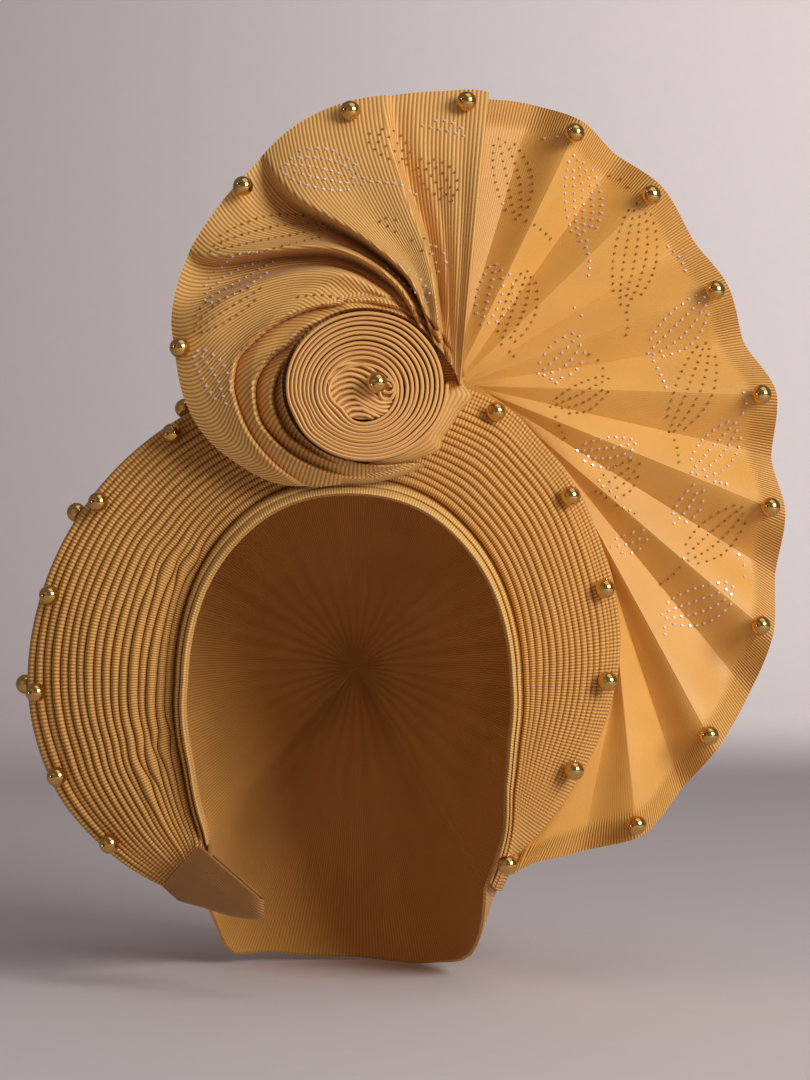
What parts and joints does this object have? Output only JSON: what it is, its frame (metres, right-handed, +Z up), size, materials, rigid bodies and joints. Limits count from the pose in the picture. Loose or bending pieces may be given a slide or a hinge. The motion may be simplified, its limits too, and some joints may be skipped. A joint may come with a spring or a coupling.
{
  "type": "pre-tied gele head tie",
  "caption": "Pre-tied turban cap with a pleated halo round the face, a wound rosette with a swirled skirt, a pleated fan at one side and beads along the edges.",
  "frame": {"origin": "inside of the cap at the crown of the head, where the head tie sits", "axes": "+Z up along the height, -Y the way the wearer faces, +X towards the wearer's left, where the fan stands"},
  "size_m": [0.3126, 0.1869, 0.3614],
  "materials": {
    "cap_cloth": "matte ribbed cloth",
    "ribbed_cloth": "satin ribbed cloth",
    "fan_cloth": "satin cloth",
    "gold_bead": "polished gold plating"
  },
  "bodies": {
    "root": {"base_cap": "cap_cloth", "face_band": "ribbed_cloth", "pleated_halo": "ribbed_cloth", "halo_wrap": "ribbed_cloth", "rosette": "ribbed_cloth", "rosette_skirt": "ribbed_cloth", "rosette_collar": "ribbed_cloth", "side_tab": "ribbed_cloth", "fan": "fan_cloth", "fan_bead_01": "gold_bead", "fan_bead_02": "gold_bead", "fan_bead_03": "gold_bead", "fan_bead_04": "gold_bead", "fan_bead_05": "gold_bead", "fan_bead_06": "gold_bead", "fan_bead_07": "gold_bead", "fan_bead_08": "gold_bead", "halo_bead_01": "gold_bead", "halo_bead_02": "gold_bead", "halo_bead_03": "gold_bead", "halo_bead_04": "gold_bead", "halo_bead_05": "gold_bead", "halo_bead_06": "gold_bead", "halo_bead_07": "gold_bead", "halo_bead_08": "gold_bead", "halo_bead_09": "gold_bead", "halo_bead_10": "gold_bead", "halo_bead_11": "gold_bead", "halo_bead_12": "gold_bead", "rosette_bead_01": "gold_bead", "swirl_bead_01": "gold_bead", "swirl_bead_02": "gold_bead", "swirl_bead_03": "gold_bead", "swirl_bead_04": "gold_bead", "wrap_bead_01": "gold_bead", "wrap_bead_02": "gold_bead", "wrap_bead_03": "gold_bead"}
  },
  "joints": []
}
